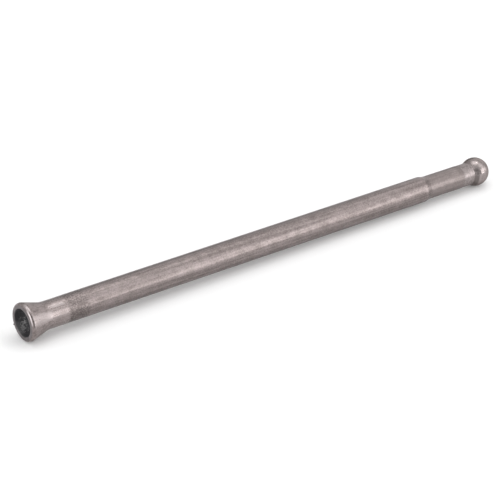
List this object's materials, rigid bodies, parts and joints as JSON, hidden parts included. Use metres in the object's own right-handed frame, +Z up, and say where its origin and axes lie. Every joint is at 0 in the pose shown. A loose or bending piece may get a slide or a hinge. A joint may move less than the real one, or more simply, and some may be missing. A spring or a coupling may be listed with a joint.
{
  "type": "engine pushrod",
  "caption": "Engine pushrod: a seamless steel tube flared into a cup for the rocker's screw, with a ball end for the tappet held in its swaged neck.",
  "frame": {"origin": "the point on the bench under the middle of the rod's length and width, with the rod lying on its side", "axes": "+X along the rod from the cup to the ball, level while the rod's own axis leans 0.4 degrees down towards the ball; +Z up from the bench"},
  "size_m": [0.2544, 0.0168, 0.0168],
  "materials": {
    "drawn_steel": "bare drawn and coined steel, satin, faintly mottled, with a darker heat tint behind the cup",
    "ground_steel": "hardened steel, turned collar and ground ball"
  },
  "bodies": {
    "root": {"pushrod_tube": "drawn_steel", "ball_end": "ground_steel"}
  },
  "joints": []
}
